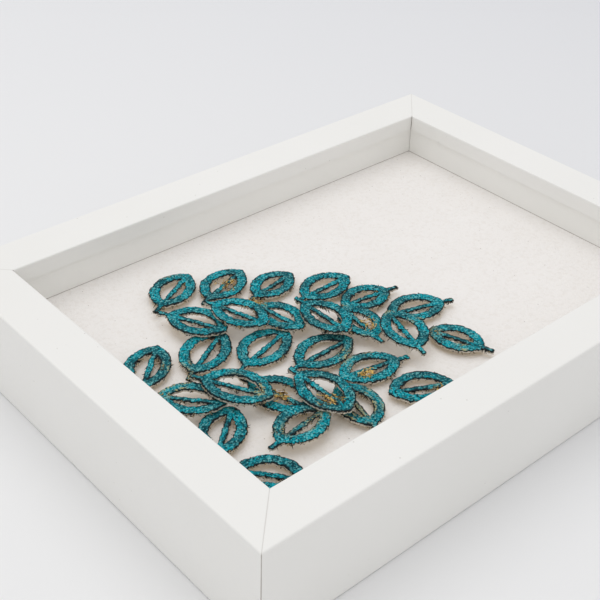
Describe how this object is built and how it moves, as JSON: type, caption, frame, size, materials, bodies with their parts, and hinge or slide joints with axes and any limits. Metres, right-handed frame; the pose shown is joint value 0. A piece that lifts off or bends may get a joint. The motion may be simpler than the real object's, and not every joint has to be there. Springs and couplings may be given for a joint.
{
  "type": "framed paper art in a deep box frame",
  "caption": "Deep white box frame lying on its back, open at the front, holding raised cut-paper leaves in curved sprays over a white paper ground.",
  "frame": {"origin": "on the surface that the back rests on, under the middle of the frame", "axes": "+X along the long rails, +Y along the short rails to the hanger's side, +Z out of the front of the picture"},
  "size_m": [0.2714, 0.202, 0.044],
  "materials": {
    "white_painted_wood": "satin",
    "white_spacer_wood": "matte",
    "watercolour_paper": "matte",
    "fibreboard": "matte",
    "teal_fibre_paper": "matte",
    "white_foam": "matte",
    "bright_steel": "satin",
    "brass_plated_steel": "satin"
  },
  "bodies": {
    "root": {"backing_board": "fibreboard", "bottom_rail": "white_painted_wood", "bottom_spacer": "white_spacer_wood", "corner_wedges": "bright_steel", "foam_strips": "white_foam", "framing_points": "bright_steel", "hanger_rivets": "brass_plated_steel", "leaf_01": "teal_fibre_paper", "leaf_02": "teal_fibre_paper", "leaf_03": "teal_fibre_paper", "leaf_04": "teal_fibre_paper", "leaf_05": "teal_fibre_paper", "leaf_06": "teal_fibre_paper", "leaf_07": "teal_fibre_paper", "leaf_08": "teal_fibre_paper", "leaf_09": "teal_fibre_paper", "leaf_10": "teal_fibre_paper", "leaf_11": "teal_fibre_paper", "leaf_12": "teal_fibre_paper", "leaf_13": "teal_fibre_paper", "leaf_14": "teal_fibre_paper", "leaf_15": "teal_fibre_paper", "leaf_16": "teal_fibre_paper", "leaf_17": "teal_fibre_paper", "leaf_18": "teal_fibre_paper", "leaf_19": "teal_fibre_paper", "leaf_20": "teal_fibre_paper", "leaf_21": "teal_fibre_paper", "leaf_22": "teal_fibre_paper", "leaf_23": "teal_fibre_paper", "leaf_24": "teal_fibre_paper", "leaf_25": "teal_fibre_paper", "leaf_26": "teal_fibre_paper", "leaf_27": "teal_fibre_paper", "left_rail": "white_painted_wood", "left_spacer": "white_spacer_wood", "mount_paper": "watercolour_paper", "right_rail": "white_painted_wood", "right_spacer": "white_spacer_wood", "sawtooth_hanger": "brass_plated_steel", "top_rail": "white_painted_wood", "top_spacer": "white_spacer_wood"}
  },
  "joints": []
}
